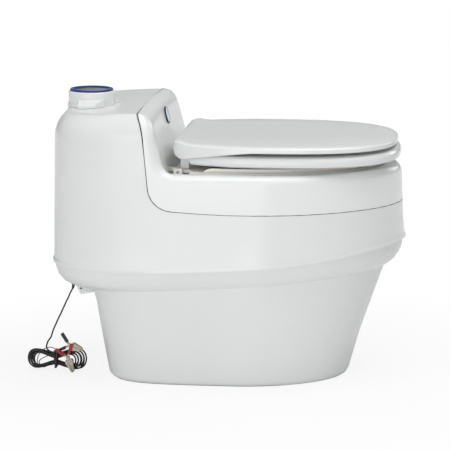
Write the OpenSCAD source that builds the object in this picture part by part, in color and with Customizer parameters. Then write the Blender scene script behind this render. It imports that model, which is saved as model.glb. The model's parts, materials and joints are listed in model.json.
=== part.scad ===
// Composting toilet: moulded tub and case, lift-off top with a sprung seat,
// diverting bowl, turning waste container and a fan under the vent outlet.
// +X points to the toilet's front, Z = 0 is the floor, Y = 0 the middle plane.

/* [Body] */
// Half of the width over the bead round the case
half_w = 228; // [215:1:240]
// How far the case reaches back of the origin
rear_x = 334.4; // [320:1:345]
// How far the case reaches in front of the origin
front_x = 333.1; // [320:1:345]
// Wall thickness of the mouldings
wall = 3.5; // [3:0.1:5]
// Height of the bead at the back
bead_z = 232.5; // [225:0.5:240]
// Rise of the bead towards the front
bead_rise = 40; // [30:1:50]
// Height of the seam between the case and the lift-off top
seam_z = 342.5; // [335:0.5:350]
// Height of the rim round the deck
rim_z = 413.5; // [410:0.5:420]
// Height at which the rear housing starts to round over
shoulder_z = 473; // [465:1:480]
// Radius of that rounding
shoulder_r = 62; // [55:1:70]

/* [Foot] */
// Half of the width of the footprint
foot_half_w = 154; // [145:1:160]
// Back end of the footprint
foot_rear = 226; // [220:1:235]
// Front end of the footprint
foot_front = 227; // [220:1:235]

/* [Seat] */
// Half of the width of the seat
seat_half_w = 195; // [190:1:198]
// Height of the seat's underside
seat_z = 426.5; // [425:0.5:428]
// Thickness of the seat
seat_t = 22; // [18:0.5:23]
// Height of the hinge axis
hinge_z = 446; // [444:0.5:448]
// Place of the hinge axis behind the origin
hinge_back = 74; // [72:0.5:76]
// Half of the distance between the two hinges
hinge_half = 128; // [120:1:135]

/* [Vent] */
// Place of the vent outlet behind the origin
vent_back = 264; // [262:1:274]
// Distance of the vent outlet from the middle plane
vent_side = 45; // [35:1:55]
// Bore radius of the outlet, for a 75 mm pipe
vent_r = 37.75; // [37.6:0.05:38]
// Height of the top of the outlet's sealing ring
vent_z = 553; // [545:1:553]

/* [Container] */
// Radius of the waste container at its rim
bucket_r = 165; // [155:1:168]
// Height of the container
bucket_h = 285; // [250:1:290]
// Number of ratchet teeth round the turntable
ratchet_teeth = 72; // [60:1:80]

/* [Fan] */
// Side of the square fan frame
fan_side = 92; // [80:1:92]
// Number of blades
fan_blades = 7; // [5:1:9]

/* [Lead] */
// Diameter of the battery lead
cord_d = 3; // [2.6:0.1:3.4]
// Loops in the tied hank
hank_loops = 8; // [6:1:10]

/* [Hidden] */

white = "#eef0ef";
grey = "#b9bcbc";
dark = "#2a2b2d";
blue = "#0b3f86";
steel = "#a9abad";
red = "#c4161c";

mid_x = 50;          // station of the widest point of the body
nose_n = 1.85;       // roundness of the front half
gap = 1;             // gap along a seam
ring_n = 64;         // points round a moulded section

// ---- outlines -------------------------------------------------------------
function polar(a, n) = pow(pow(abs(cos(a)), n) + pow(abs(sin(a)), n), -1 / n);
// Egg outline: rear half rounded rectangle, front half rounded nose
function egg(a, back, front, mid, half, n_back, n_front) =
    let (c = cos(a), s = sin(a), ahead = c >= 0,
         n = ahead ? n_front : n_back,
         r = polar(a, n))
    [mid + (ahead ? front - mid : mid + back) * r * c, half * r * s];
function mix(a, b, t) = a + (b - a) * t;
function clamp(t) = max(0, min(1, t));

// ---- the case surface -----------------------------------------------------
function bead_s(x) = clamp((x + 210) / 540);
function bead(x) = bead_z + bead_rise * pow(bead_s(x), 1.8);
function case_back(z) = rear_x - 0.028 * (z - 242);
function case_front(z) = front_x - 0.045 * (z - 271);
function case_half(z) = half_w - 2
    - (z < seam_z ? 0.07 * (z - 242) : 0.07 * (seam_z - 242) + 0.045 * (z - seam_z));
function case_n(z) = mix(4, 5, clamp((z - 242) / 280));
function case_pt(a, z, i) =
    egg(a, case_back(z) - i, case_front(z) - i, mid_x, case_half(z) - i, case_n(z), nose_n);
// Half width of the case at station x and height z, inset by i
function wall_y(x, z, i = 0) =
    (case_half(z) - i) * pow(max(0, 1 - pow(abs(mid_x - x) / (mid_x + case_back(z) - i),
                                            case_n(z))), 1 / case_n(z));
shoulder_end = acos(1 - 27 / shoulder_r);
top_z = shoulder_z + shoulder_r * sin(shoulder_end);
crown = 1.5;         // rise of the top from its edge to the middle
horn = 2;            // how far the lift-off top's rear edge stands above the case

// How far the top has fallen at station x on its way to the back
function fall(x) = 0.035 * max(0, -160 - x);
function level(z, i) = [for (k = [0:ring_n - 1])
    let (p = case_pt(360 * k / ring_n, z, i)) [p[0], p[1], z]];
// Ring that follows the bead line, dropped by d and inset by i
function bead_ring(d, i) = [for (k = [0:ring_n - 1])
    let (p = case_pt(360 * k / ring_n, 242, i)) [p[0], p[1], bead(p[0]) - d]];
// Ring part of the way t from the bead line to the seam height
function mid_ring(t, i) = [for (k = [0:ring_n - 1])
    let (a = 360 * k / ring_n, q = case_pt(a, 242, i), z = mix(bead(q[0]), seam_z, t),
         p = case_pt(a, z, i)) [p[0], p[1], z]];

// ---- skins ----------------------------------------------------------------
function quads(rows, n) = [for (i = [0:rows - 2], k = [0:n - 1])
    let (a = i * n + k, b = i * n + (k + 1) % n, c = b + n, d = a + n)
    each [[a, d, c], [a, c, b]]];
// Closed solid through stacked rings, capped at both ends
module skin(rings) {
    n = len(rings[0]);
    last = (len(rings) - 1) * n;
    polyhedron([for (r = rings) each r],
        concat([[for (k = [0:n - 1]) k]], quads(len(rings), n),
               [[for (k = [0:n - 1]) last + n - 1 - k]]), convexity = 10);
}
// Closed solid through rings whose last row joins the first
module hoop(rings) {
    n = len(rings[0]);
    polyhedron([for (r = rings) each r, each rings[0]],
        quads(len(rings) + 1, n), convexity = 10);
}
// One mesh out of several moulded skins
module moulding() {
    resize([0, 0, 0]) children();
}

// ---- seam between the case and the lift-off top -----------------------------
seam_r = 46;
seam_v = 134;        // distance behind the origin at which the seam turns up
function seam_x(z) = -seam_v - 0.1 * (z - seam_z - seam_r)
    - 0.0042 * pow(max(0, z - 478), 2);
function seam_line(x) = seam_z + 4.8 * pow(clamp((20 - x) / 108), 1.6);
seam_top_z = seam_z + 4.8;
module seam_cutter() {
    corner = [-seam_v + seam_r, seam_top_z + seam_r];
    profile = concat(
        [[400, seam_z - gap], [20, seam_z - gap], [-34, seam_line(-34) - gap]],
        [for (a = [0:10:90]) corner - (seam_r + gap) * [sin(a), cos(a)]],
        [for (z = [410:13:500]) [seam_x(z) - gap, z]],
        [for (z = [506:6:top_z]) [seam_x(z) - gap, z]],
        [[seam_x(top_z) - gap, 600], [400, 600]]);
    rotate([90, 0, 0]) linear_extrude(600, center = true) polygon(profile);
}

// ---- outer mouldings --------------------------------------------------------
function shoulder_rings(i) = [for (k = [1:5])
    let (a = shoulder_end * k / 5)
    [for (p = level(shoulder_z, i + (shoulder_r - i) * (1 - cos(a))))
        [p[0], p[1], shoulder_z + (shoulder_r - i) * sin(a) - fall(p[0]) * k / 5]]];
function crown_rings(i) = [for (s = [[34, 0.35], [90, 0.8], [150, 1]])
    [for (p = level(shoulder_z, i + 27 + s[0])) [p[0], p[1], top_z - i + crown * s[1] - fall(p[0])]]];
module case_solid(i, bottom) {
    skin(concat(bottom, [mid_ring(0.5, i), level(seam_z, i), level(shoulder_z, i)],
                shoulder_rings(i), crown_rings(i)));
}
module upper_case() {
    color(white) moulding() difference() {
        case_solid(0, [bead_ring(3, -2), bead_ring(-2.5, -2), bead_ring(-5.5, 0)]);
        case_solid(wall, [bead_ring(30, wall), bead_ring(-5.5, wall)]);
        seam_cutter();
        translate([-vent_back, -vent_side, top_z - 60])
            cylinder(h = 90, r = socket_r + 0.5, $fn = 48);
    }
}

// Sections of the tub: drop below the bead, back, front and half width
tub_band = [[3.5, 332, 330.2, 223.5], [12, 331, 329.7, 223], [23, 327, 325.5, 219],
            [33, 318, 317, 213.5], [40, 304, 307, 208], [43, 288, 301, 205],
            [44, 262, 297, 203.5]];
tub_wall = [[150, 254, 273, 192, 0.72], [80, 243, 249, 174, 0.35], [10, 231, 229.5, 156.5, 0.03]];
function tub_mid(t) = mix(15, mid_x, t);
function tub_ring(back, front, half, t, i) = [for (k = [0:ring_n - 1])
    egg(360 * k / ring_n, back - i, front - i, tub_mid(t), half - i,
        mix(4.5, 4, t), mix(1.95, nose_n, t))];
// The band is deeper at the back and at the nose
function band_depth(p) = 0.9 + 0.38 * pow(bead_s(p[0]), 6)
    + 0.3 * pow(max(0, mid_x - p[0]) / norm([mid_x - p[0], p[1]]), 4);
function band_ring(s, i, up = 0) = [for (p = tub_ring(s[1], s[2], s[3], 1, i))
    [p[0], p[1], bead(p[0]) - s[0] * band_depth(p) + up]];
function wall_ring(s, i) = [for (p = tub_ring(s[1], s[2], s[3], s[4], i)) [p[0], p[1], s[0]]];
function foot_ring(z, i) = [for (p = tub_ring(foot_rear, foot_front, foot_half_w, 0, i))
    [p[0], p[1], z]];
lip_in = 4.1;        // inset of the tub's upstand inside the case wall
module lower_tub() {
    outer = concat([foot_ring(0, 6), foot_ring(3, 1.5)],
        [for (k = [2:-1:0]) wall_ring(tub_wall[k], 0)],
        [for (k = [6:-1:0]) band_ring(tub_band[k], 0)]);
    lip = [bead_ring(3.5, lip_in), bead_ring(-9, lip_in), bead_ring(-9, lip_in + 2.5),
           bead_ring(3.5, lip_in + 2.5)];
    inner = concat([for (k = [1, 3, 4, 6]) band_ring(tub_band[k], wall, wall)],
        [for (k = [0:2]) wall_ring(tub_wall[k], wall)], [foot_ring(4.5, 2 + wall)]);
    color(white) moulding() difference() {
        skin(concat(outer, lip, inner));
        at_spigot() cylinder(h = 40, r = 12.4, center = true, $fn = 32);
        translate([gland_at[0], gland_at[1], 170]) cylinder(h = 40, r = 4.6, $fn = 24);
    }
}

// ---- lift-off top -----------------------------------------------------------
face_x0 = -126;      // the housing's front face at the badge's height
face_z0 = 497;
face_lean = 0.25;
function face_x(z) = face_x0 + (face_z0 - z) * face_lean;
ledge_z = 399.5;
rim_r = 15;
brow_r = 26;         // rounding between the housing's sides and its front face
// One section of the top: deck height, deck inset, corner radius, how the upright
// stretch lies (0 along the seam, 1 along the face), its offset and inset
top_out = [
    [seam_z, 0, seam_r, 0, gap / 2, 0],
    [rim_z - rim_r, 0, 40, 1, -brow_r, 0],
    [rim_z - rim_r * 0.5, rim_r * 0.134, 36, 1, -brow_r * 0.5, brow_r * 0.134],
    [rim_z - rim_r * 0.134, rim_r * 0.5, 31, 1, -brow_r * 0.134, brow_r * 0.5],
    [rim_z, rim_r, 26, 1, 0, brow_r],
    [rim_z, 25, 21, 1, 0, 33],
    [rim_z - 2.5, 28.5, 18, 1, 0, 36]];
top_in = [
    [rim_z - 2.5 - wall, 28.5 - wall, 18, 1, -wall, 36],
    [rim_z - wall, 24 - wall, 23, 1, -wall, 33],
    [rim_z - wall, rim_r, 28, 1, -wall, brow_r + wall],
    [rim_z - rim_r * 0.5 - 2, wall + 3, 36, 1, -brow_r * 0.5 - 2, wall + 4],
    [rim_z - rim_r - 1, wall, 40, 1, -brow_r - 1, wall],
    [seam_z + 1, wall, seam_r, 0, gap / 2 + 1, wall]];
// Locating lip inside the case; it fades out where the seam climbs
lip_out = [
    [seam_z - 8, lip_in + 2.6, seam_r + 8, 0, gap / 2 + 0.1, lip_in + 2.6],
    [seam_z - 8, lip_in, seam_r + 8, 0, gap / 2 + 0.1, lip_in],
    [seam_z, lip_in, seam_r, 0, gap / 2 + 0.2, lip_in]];
// Station of the upright stretch; near the crest the brow narrows to fit before the seam
function up_x(s, z) = s[3] == 0 ? seam_x(z) + s[4]
    : face_x(z) + s[4] * clamp((face_x(z) - seam_x(z) - gap / 2 - 3) / (brow_r + 2));
function turn_z(s) = s[0] + s[2] + (s[3] == 0 ? 4.8 : 0);
function deck_end(s) = up_x(s, turn_z(s)) + s[2];
// Polar angle at which the deck outline passes station x
function angle_at(x, z, i) =
    let (n = case_n(z), q = (mid_x - x) / (mid_x + case_back(z) - i))
    180 - atan(pow(pow(q, -n) - 1, 1 / n));
function deck_z(s, x) = s[0] + (s[3] == 0 ? seam_line(x) - seam_z : 0);
function half_section(s) =
    let (x1 = deck_end(s), z1 = turn_z(s), a1 = angle_at(x1, s[0], s[1]),
         ye = wall_y(up_x(s, shoulder_z), shoulder_z, 0))
    concat(
        [for (k = [0:15]) let (p = case_pt(a1 * k / 15, s[0], s[1])) [p[0], p[1], deck_z(s, p[0])]],
        [for (k = [1:5]) let (a = 18 * k, x = x1 - s[2] * sin(a), z = z1 - s[2] * cos(a))
            [x, wall_y(x, z) - mix(s[1], s[5], k / 5), z]],
        [for (k = [1:4]) let (z = mix(z1, shoulder_z, k / 4))
            [up_x(s, z), wall_y(up_x(s, z), z) - s[5], z]],
        [for (k = [1:4]) let (a = shoulder_end * k / 4, z = shoulder_z + (shoulder_r - s[5]) * sin(a))
            [up_x(s, z), ye - s[5] - (shoulder_r - s[5]) * (1 - cos(a)), z]],
        [for (k = [1:5]) let (y0 = ye - s[5] - (shoulder_r - s[5]) * (1 - cos(shoulder_end)),
                              z = top_z - s[5] * sin(shoulder_end)
                                  + (crown + horn) * (1 - pow(1 - k / 5, 2)))
            [up_x(s, z), y0 * (1 - k / 5), z]]);
function whole(half) = concat(half, [for (k = [len(half) - 2:-1:1])
    [half[k][0], -half[k][1], half[k][2]]]);
// Foot of the recess: round the deck, then straight across below the face
function foot_half(z, i, back) =
    let (s = [z, i, 10, 1, -back, 0], x1 = face_x(z) - back + 14, a1 = angle_at(x1, z, i),
         y1 = wall_y(x1, z, i))
    concat(
        [for (k = [0:15]) let (p = case_pt(a1 * k / 15, z, i)) [p[0], p[1], z]],
        [for (k = [1:5]) [x1 - 14 * sin(18 * k), y1 - 12 * (1 - cos(18 * k)), z]],
        [for (k = [1:13]) [face_x(z) - back, (y1 - 12) * (1 - k / 13), z]]);
open_back = 44;
open_front = 258;
open_half = 146;
open_mid = 90;
function open_half_ring(z, i) = [for (k = [0:33])
    let (p = egg(180 * k / 33, open_back + i, open_front + i, open_mid, open_half + i, 3.2, 2))
    [p[0], p[1], z]];
module top_section() {
    rings = concat(
        [for (s = top_out) whole(half_section(s))],
        [whole(foot_half(ledge_z + 1, 29.5, 0)), whole(open_half_ring(ledge_z, 0)),
         whole(open_half_ring(ledge_z - wall, 0)),
         whole(foot_half(ledge_z - wall, 29.5 - wall, wall))],
        [for (s = top_in) whole(half_section(s))],
        [for (s = lip_out) whole(half_section(s))]);
    color(white) moulding() difference() {
        hoop(rings);
        translate([-130, arm_y - 9, frame_z - 4]) cube([32, 18, frame_t + 10]);
    }
}

// ---- rear duct and vent outlet ------------------------------------------------
module tub_space(i) {
    skin([for (k = [2:-1:0]) wall_ring(tub_wall[k], i), band_ring(tub_band[6], i),
          band_ring(tub_band[5], i)]);
}
duct_y = [-90, 10];
module rear_duct() {
    color(white) moulding() difference() {
        rotate([90, 0, 0]) translate([0, 0, -duct_y[1]]) linear_extrude(duct_y[1] - duct_y[0])
            polygon([[-290.5, 177], [-282, 160], [-240, 167], [-240, 184], [-278, 179]]);
        tub_space(-0.4);
        translate([-280, duct_y[0] + 2.5, 164]) cube([60, duct_y[1] - duct_y[0] - 5, 8]);
        for (y = [duct_y[0] + 12:15:duct_y[1] - 10])
            translate([-276, y, 150]) cube([16, 8, 20]);
        translate([-281, -80, 171.5]) rotate([90, 0, 0]) cylinder(h = 30, r = 2, $fn = 16);
    }
}
module at_vent(z) {
    translate([-vent_back, -vent_side, z]) children();
}
socket_r = vent_r + 6;
socket_top = vent_z - 3.7;
module vent_socket() {
    color(white) at_vent(0) {
        difference() {
            union() {
                translate([0, 0, 482]) cylinder(h = socket_top - 484, r = socket_r, $fn = 96);
                translate([0, 0, socket_top - 2])
                    cylinder(h = 2, r1 = socket_r, r2 = socket_r - 2, $fn = 96);
            }
            translate([0, 0, 470]) cylinder(h = 90, r = vent_r, $fn = 96);
        }
    }
}
// Sloping ear that a thumb presses to free the outlet, from side to side and reach out
module finger_tab(side, across, reach) {
    rotate([90, 0, 90]) translate([0, 0, side]) linear_extrude(across)
        polygon([[-36, 537], [16 - reach, 536], [2.5 - reach, 529.5], [-reach, 526.5],
                 [0.5 - reach, 519], [5 - reach, 490], [-36, 490]]);
}
module vent_base() {
    color(white) moulding() difference() {
        union() {
            at_vent(480) cylinder(h = 42, r = socket_r + 2.2, $fn = 64);
            at_vent(522) cylinder(h = 5, r1 = socket_r + 2.2, r2 = socket_r + 1, $fn = 64);
            at_vent(0) difference() {
                finger_tab(-17, 48, 60.5);
                translate([15, -61, 480]) rotate([0, 0, -38]) translate([0, -20, 0]) cube([30, 60, 80]);
            }
            at_vent(0) rotate([0, 0, 115]) finger_tab(-6, 12, 53);
        }
        case_solid(-0.4, [level(480, -0.4)]);
        at_vent(470) cylinder(h = 80, r = socket_r + 0.4, $fn = 64);
    }
}
module vent_seal() {
    color(blue) at_vent(socket_top + 0.3) rotate_extrude($fn = 96)
        polygon([[vent_r, 0], [socket_r - 2.6, 0], [socket_r - 2.4, 1.8], [socket_r - 3.6, 3.4],
                 [vent_r + 0.8, 3.4], [vent_r, 2.4]]);
}

// ---- fan under the outlet -------------------------------------------------------
shelf_z = 436;
shelf_t = 4;
fan_h = 38;
screw_at = fan_side / 2 - 5;
module at_screws() {
    for (x = [-1, 1], y = [-1, 1]) translate([x * screw_at, y * screw_at, 0]) children();
}
module fan_shelf() {
    color(white) moulding() difference() {
        intersection() {
            translate([-400, -300, shelf_z]) cube([190, 600, shelf_t]);
            skin([level(shelf_z - 10, wall + 0.4), level(shelf_z + 20, wall + 0.4)]);
        }
        at_vent(shelf_z - 1) cylinder(h = shelf_t + 2, r = fan_side / 2 - 4, $fn = 48);
        at_vent(shelf_z - 1) at_screws() cylinder(h = shelf_t + 2, r = 2.2, $fn = 16);
    }
}
module fan_frame() {
    z0 = shelf_z + shelf_t + 0.2;
    color(dark) at_vent(z0) difference() {
        union() {
            difference() {
                translate([-fan_side / 2, -fan_side / 2, 0]) cube([fan_side, fan_side, fan_h]);
                translate([0, 0, -1]) cylinder(h = fan_h + 2, r = 43, $fn = 96);
            }
            cylinder(h = 3, r = 19, $fn = 64);
            for (a = [45:90:315]) rotate([0, 0, a]) translate([17, -3, 0]) cube([28, 6, 3]);
            cylinder(h = 22, r = 2, $fn = 32);
        }
        translate([0, 0, -1]) at_screws() cylinder(h = fan_h + 2, r = 2.2, $fn = 24);
    }
}
module fan_impeller() {
    z0 = shelf_z + shelf_t + 4;
    color(dark) at_vent(z0) difference() {
        union() {
            cylinder(h = 30, r = 18, $fn = 64);
            for (k = [0:fan_blades - 1]) rotate([0, 0, 360 * k / fan_blades])
                translate([28.5, 0, 15]) rotate([42, 0, 0])
                    cube([24, 1.6, 26], center = true);
        }
        translate([0, 0, -1]) cylinder(h = 24, r = 2.06, $fn = 32);
    }
}
module fan_screws() {
    z0 = shelf_z + shelf_t + fan_h + 0.4;
    color(steel) at_vent(0) at_screws() {
        translate([0, 0, shelf_z]) cylinder(h = z0 - shelf_z, r = 2, $fn = 24);
        translate([0, 0, z0]) cylinder(h = 2.4, r = 3.6, $fn = 24);
    }
}

// ---- turntable and waste container ---------------------------------------------
table_r = 135;
table_z = 10;
module turntable_axle() {
    color(steel) {
        translate([0, 0, 4.8]) cylinder(h = 4.9, r = 24, $fn = 64);
        translate([0, 0, 8]) cylinder(h = 14, r = 8, $fn = 64);
    }
}
module turntable() {
    pitch = 360 / ratchet_teeth;
    color(grey) difference() {
        union() {
            translate([0, 0, table_z]) linear_extrude(5) polygon([for (k = [0:ratchet_teeth - 1])
                each [table_r * [cos(pitch * k), sin(pitch * k)],
                      (table_r - 4) * [cos(pitch * (k + 0.08)), sin(pitch * (k + 0.08))]]]);
            translate([0, 0, table_z]) cylinder(h = 8, r = 128, $fn = 96);
            translate([0, 0, table_z]) cylinder(h = 11.6, r = 15, $fn = 64);
        }
        translate([0, 0, table_z + 5]) difference() {
            cylinder(h = 10, r = 125.4, $fn = 96);
            cylinder(h = 10, r = 15, $fn = 64);
        }
        cylinder(h = 60, r = 8.06, $fn = 64);
    }
}
bucket_z = 15.3;
bucket_top = bucket_z + bucket_h;
function bucket_at(z) = mix(124, bucket_r - 4, (z - bucket_z) / bucket_h);
module container() {
    color(grey) difference() {
        rotate_extrude($fn = 96) polygon([
            [0, bucket_z + 8], [20, bucket_z + 8], [22, bucket_z], [124, bucket_z],
            [bucket_r - 4, bucket_top - 14], [bucket_r, bucket_top - 14],
            [bucket_r, bucket_top - 2], [bucket_r - 2, bucket_top],
            [bucket_r - 8, bucket_top], [bucket_r - 8, bucket_top - 14],
            [121, bucket_z + 3], [24, bucket_z + 3], [22, bucket_z + 11], [0, bucket_z + 11]]);
        for (s = [-1, 1]) translate([0, s * bucket_r, bail_z]) rotate([90, 0, 0])
            cylinder(h = 14, r = 3.06, center = true, $fn = 32);
    }
}
bail_z = bucket_top - 7;
bail_r = bucket_r + 5;
bail_tilt = 22;      // the bail hangs this far below level
module container_handle() {
    color(steel) translate([0, 0, bail_z]) rotate([0, bail_tilt, 0]) {
        rotate([0, 0, -90]) rotate_extrude(angle = 180, $fn = 96)
            translate([bail_r, 0]) circle(r = 3, $fn = 16);
        for (s = [-1, 1]) translate([0, s * (bail_r - 7.5), 0]) rotate([s * 90, 0, 0])
            translate([0, 0, -9]) cylinder(h = 10, r = 3, $fn = 32);
    }
}

// ---- stepping mechanism ------------------------------------------------------------
pawl_turn = 218.4;
rod_r = 185;
crank = 4;
pawl_z = 72;
module at_pawl() {
    rotate([0, 0, pawl_turn]) children();
}
module pawl_post() {
    color(grey) at_pawl() difference() {
        union() {
            translate([153, -16, 5]) cube([23, 32, 3.5]);
            translate([155, -8, 8]) cube([17, 16, pawl_z + 10 - 8]);
            translate([155, -8, pawl_z + 14]) cube([37, 24, 12]);
            translate([155, -8, pawl_z]) cube([17, 16, 20]);
        }
        translate([140, 0, pawl_z]) rotate([0, 90, 0]) cylinder(h = 40, r = 4.06, $fn = 48);
        translate([rod_r, crank, pawl_z]) cylinder(h = 60, r = 4.06, $fn = 48);
    }
}
module pawl_arm() {
    color(steel) at_pawl() {
        translate([141, 0, pawl_z]) rotate([0, 90, 0]) cylinder(h = 39, r = 4, $fn = 48);
        translate([141.5, 0, pawl_z]) rotate([0, 90, 0]) cylinder(h = 5, r = 8, $fn = 48);
        translate([141.5, -4, 11]) cube([5, 8, pawl_z - 18]);
        translate([136.4, -4, 11]) cube([6, 8, 4.9]);
        translate([176, -3, pawl_z - 2]) cube([13, 13, 4.5]);
    }
}
rod_top = 408.7;
module press_rod() {
    color(steel) at_pawl() translate([rod_r, crank, 0]) {
        translate([0, 0, pawl_z + 3]) cylinder(h = 8, r = 1.2, $fn = 48);
        translate([0, 0, pawl_z + 9]) cylinder(h = rod_top - pawl_z - 9, r = 4, $fn = 48);
        translate([0, 0, pawl_z + 34]) cylinder(h = 4, r = 7, $fn = 48);
    }
}

// ---- bowl, funnel and drain -----------------------------------------------------
// Ring of the bowl: back, front, half width and height, inset by i and dropped by d
function bowl_ring(b, i, d) = whole([for (k = [0:16])
    let (p = egg(180 * k / 16, b[0] - i, b[1] - i, min(open_mid, mix(-b[0], b[1], 0.45)),
                 b[2] - i, 3, 2)) [p[0], p[1], b[3] - d]]);
bowl = [[open_back + 8, open_front + 8, open_half + 8, ledge_z + 3.9],
        [open_back - 6, open_front - 6, open_half - 6, ledge_z + 3.9],
        [open_back - 7, 243, 131, 378], [open_back - 9, 205, 106, 353],
        [open_back - 9, 122, 90, 344], [open_back - 10, 92, 82, 322]];
funnel_x = 160;
module bowl_liner() {
    n = len(bowl) - 1;
    color(white) moulding() difference() {
        hoop(concat([bowl_ring(bowl[0], 1, 0)],
            [for (k = [1:n]) bowl_ring(bowl[k], 0, 0)],
            [for (k = [n:-1:2]) bowl_ring(bowl[k], -2.6, k == n ? 0 : 0.8)],
            [bowl_ring(bowl[1], -3, 3), bowl_ring(bowl[0], 0, 3)]));
        translate([funnel_x, 0, 330]) cylinder(h = 40, r = 14.4, $fn = 32);
    }
}
spout_x = 198;
module urine_funnel() {
    color(white) {
        difference() {
            union() {
                translate([funnel_x, 0, 330]) cylinder(h = 19.4, r = 14, $fn = 64);
                translate([funnel_x, 0, 324]) cylinder(h = 6, r1 = 9, r2 = 14, $fn = 64);
                translate([funnel_x, 0, 324]) rotate([0, 90, 0]) cylinder(h = spout_x - funnel_x,
                                                                       r = 9, $fn = 48);
                translate([funnel_x, 0, 324]) sphere(r = 9, $fn = 48);
                translate([spout_x, 0, 324]) sphere(r = 9, $fn = 48);
                translate([spout_x, 0, 306]) cylinder(h = 18, r = 9, $fn = 48);
            }
            translate([funnel_x, 0, 324]) cylinder(h = 30, r = 7, $fn = 48);
            translate([funnel_x, 0, 332]) cylinder(h = 30, r1 = 7, r2 = 12.5, $fn = 48);
            translate([funnel_x, 0, 324]) rotate([0, 90, 0]) cylinder(h = spout_x - funnel_x,
                                                                   r = 7, $fn = 48);
            translate([spout_x, 0, 300]) cylinder(h = 24, r = 7, $fn = 48);
        }
    }
}
spigot_at = [-60, 173.9, 82];
spigot_lean = 13.8;  // the spigot stands square on the leaning wall
// Route of the hose inside the tub, from the cup under the spout to the spigot
hose_route = [[198, 0, 300], [198, 0, 270], [199, 2, 230], [201, 8, 190], [200, 20, 155],
              [193, 44, 128], [177, 72, 112], [152, 98, 104], [120, 121, 99], [85, 135, 96],
              [48, 144, 94], [12, 147, 93], [-18, 145, 92], [-42, 140, 91.5], [-56, 139, 91],
              [-60, 144, 89.5], [-60, 152, 87.5]];
hose_r = 9;
function unit(v) = v / norm(v);
function along(p, k) = unit(p[min(k + 1, len(p) - 1)] - p[max(k - 1, 0)]);
// Ring of n points round point k of a route, square to it
function tube_ring(p, k, r, n, up) =
    let (t = along(p, k), u = unit(cross(up, t)), v = cross(t, u))
    [for (a = [0:n - 1]) p[k] + r * (cos(360 * a / n) * u + sin(360 * a / n) * v)];
module drain_hose() {
    last = len(hose_route) - 1;
    up = [1, 1, 0.3];
    color(dark) hoop(concat(
        [for (k = [0:last]) tube_ring(hose_route, k, k == 0 ? hose_r + 4 : hose_r, 10, up)],
        [for (k = [last:-1:0])
            tube_ring(hose_route, k, k == 0 ? hose_r + 2.4 : hose_r - 1.6, 10, up)]));
}
module at_spigot() {
    translate(spigot_at) rotate([-90 - spigot_lean, 0, 0]) children();
}
module drain_spigot() {
    color(white) at_spigot() difference() {
        union() {
            translate([0, 0, -27]) cylinder(h = 27, r = 6.8, $fn = 48);
            translate([0, 0, -8]) cylinder(h = 10, r = 12, $fn = 48);
            translate([0, 0, 1]) cylinder(h = 3, r = 24, $fn = 64);
            translate([0, 0, 3]) cylinder(h = 30, r = 16, $fn = 64);
        }
        translate([0, 0, -30]) cylinder(h = 40, r = 5, $fn = 48);
        translate([0, 0, 7]) cylinder(h = 40, r = 13, $fn = 48);
    }
}

// ---- view guard under the bowl ----------------------------------------------------
guard_half = 86;
guard_z = 308;
hanger_top = ledge_z - wall - 0.4;
module view_guard() {
    color(white) translate([0, 0, guard_z]) {
        translate([-44, -guard_half, 0]) cube([140, 2 * guard_half, 2.5]);
        for (s = [-1, 1]) translate([-44, s > 0 ? guard_half : -guard_half - 5, 2.5 - 0.01])
            cube([140, 5, 2.5]);
        for (s = [-1, 1]) translate([-44, s > 0 ? guard_half - 3 : -guard_half, 2.4])
            cube([140, 3, 2.6]);
    }
}
module guard_rails() {
    color(grey) for (s = [-1, 1]) scale([1, s, 1]) translate([-154, 0, 0]) difference() {
        union() {
            translate([0, guard_half + 0.5, guard_z + 0.5]) cube([256, 10, 9]);
            translate([92, guard_half + 7.5, guard_z + 6]) cube([14, 3, hanger_top - guard_z - 6]);
            translate([222, guard_half + 0.5, guard_z + 9]) cube([14, 66, 3]);
            translate([222, guard_half + 64, guard_z + 9]) cube([14, 3, hanger_top - guard_z - 9]);
        }
        translate([-1, guard_half - 1, guard_z + 2]) cube([258, 6.6, 3.6]);
    }
}
module guard_tie_rod() {
    color(steel) translate([-120, 0, guard_z + 12.8]) rotate([90, 0, 0])
        cylinder(h = 2 * guard_half + 18, r = 3, center = true, $fn = 48);
}

// ---- sprung seat frame --------------------------------------------------------------
frame_z = 409;
frame_t = 6;
pivot_back = 84;
pivot_z = 412;
arm_y = -119.8;      // side of the arm that works the press rod
module press_frame() {
    color(grey) difference() {
        union() {
            translate([0, 0, frame_z]) linear_extrude(frame_t) difference() {
                union() {
                    intersection() {
                        polygon([for (k = [0:ring_n - 1]) case_pt(360 * k / ring_n, frame_z, 34)]);
                        translate([-60, -300]) square([500, 600]);
                    }
                    translate([-92, -148]) square([40, 296]);
                }
                polygon([for (k = [0:47]) egg(360 * k / 48, open_back + 2, open_front - 4,
                                              open_mid, open_half - 2, 3.2, 2)]);
            }
            translate([-150, arm_y - 6, frame_z]) cube([62, 12, frame_t]);
        }
        for (s = [-1, 1]) translate([-pivot_back, s * 149, pivot_z]) rotate([90, 0, 0])
            cylinder(h = 20, r = 2.95, center = true, $fn = 32);
    }
}
module frame_pins() {
    color(steel) for (s = [-1, 1]) translate([-pivot_back, s * 150.5, pivot_z]) rotate([90, 0, 0])
        cylinder(h = 22, r = 2.95, center = true, $fn = 32);
}
module pivot_brackets() {
    color(grey) for (s = [-1, 1]) translate([-pivot_back, s * 156, 0]) difference() {
        translate([-8, -5, ledge_z + 1]) cube([16, 10, 18]);
        translate([0, 0, pivot_z]) rotate([90, 0, 0])
            cylinder(h = 12, r = 3.02, center = true, $fn = 32);
    }
}
spring_at = [[60, 168], [230, 105]];
module press_springs() {
    color(steel) for (p = spring_at, s = [-1, 1]) translate([p[0], s * p[1], 0])
        translate([0, 0, ledge_z + 1.2]) cylinder(h = frame_z - ledge_z - 1.5, r = 6, $fn = 32);
}
module at_hinge(y) {
    for (s = [-1, 1]) translate([-hinge_back, s * y, hinge_z]) rotate([90, 0, 0]) children();
}
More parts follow.
